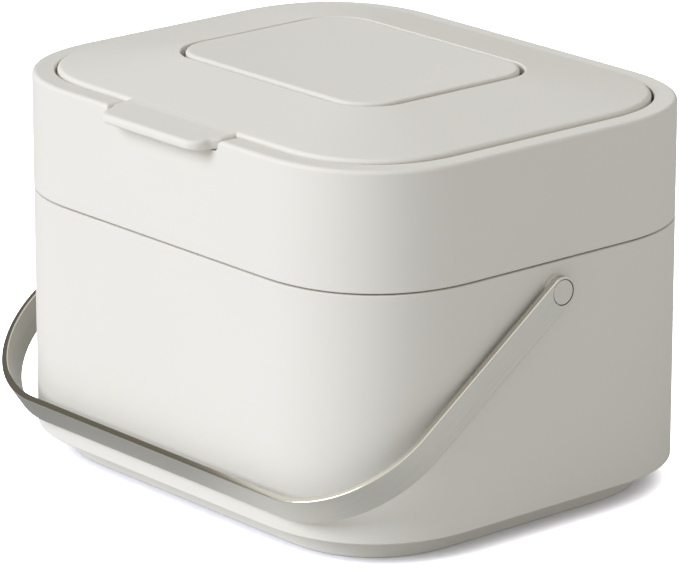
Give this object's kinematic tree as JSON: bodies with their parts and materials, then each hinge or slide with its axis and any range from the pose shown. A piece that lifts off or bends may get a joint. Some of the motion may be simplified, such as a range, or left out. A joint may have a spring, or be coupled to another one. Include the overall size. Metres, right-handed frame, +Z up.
{
  "type": "compost caddy with hinged lid",
  "caption": "Worktop food-waste caddy: rounded bucket on a recessed plinth, collar, hinged lid with lift tab and raised vent cover over a carbon filter, and a swinging steel strap handle.",
  "frame": {"origin": "middle of the bucket's footprint, on the underside of its plinth", "axes": "+Z up, +X to the right seen from the front, so the lift tab and the resting handle face -Y"},
  "size_m": [0.25, 0.2085, 0.1724],
  "materials": {
    "stone_plastic": "moulded, fine matt grain",
    "brushed_steel": "brushed along the strap",
    "washer_plastic": "plain moulded",
    "carbon_pad": "felted carbon fibre pad"
  },
  "bodies": {
    "bucket": {"bucket": "stone_plastic", "handle_rivet_left": "brushed_steel", "handle_rivet_right": "brushed_steel", "spacer_washer_left": "washer_plastic", "spacer_washer_right": "washer_plastic", "keeper_washer_left": "brushed_steel", "keeper_washer_right": "brushed_steel"},
    "collar": {"collar": "stone_plastic", "hinge_pin_left": "brushed_steel", "hinge_pin_right": "brushed_steel"},
    "lid": {"lid": "stone_plastic", "odour_filter": "carbon_pad"},
    "vent_cover": {"vent_cover": "stone_plastic"},
    "handle": {"handle": "brushed_steel"}
  },
  "joints": [
    {"name": "handle_swing", "type": "hinge", "parent": "bucket", "child": "handle", "pos_m": [0, 0.0025, 0.1017], "axis": [-1, 0, 0], "range_deg": [0, 254.5]},
    {"name": "collar_lift", "type": "slide", "parent": "bucket", "child": "collar", "axis": [0, 0, 1], "range_m": [0, 0.08]},
    {"name": "lid_hinge", "type": "hinge", "parent": "collar", "child": "lid", "pos_m": [0, 0.0938, 0.1575], "axis": [-1, 0, 0], "range_deg": [0, 100]},
    {"name": "vent_cover_lift", "type": "slide", "parent": "lid", "child": "vent_cover", "axis": [0, 0, 1], "range_m": [0, 0.04]}
  ]
}
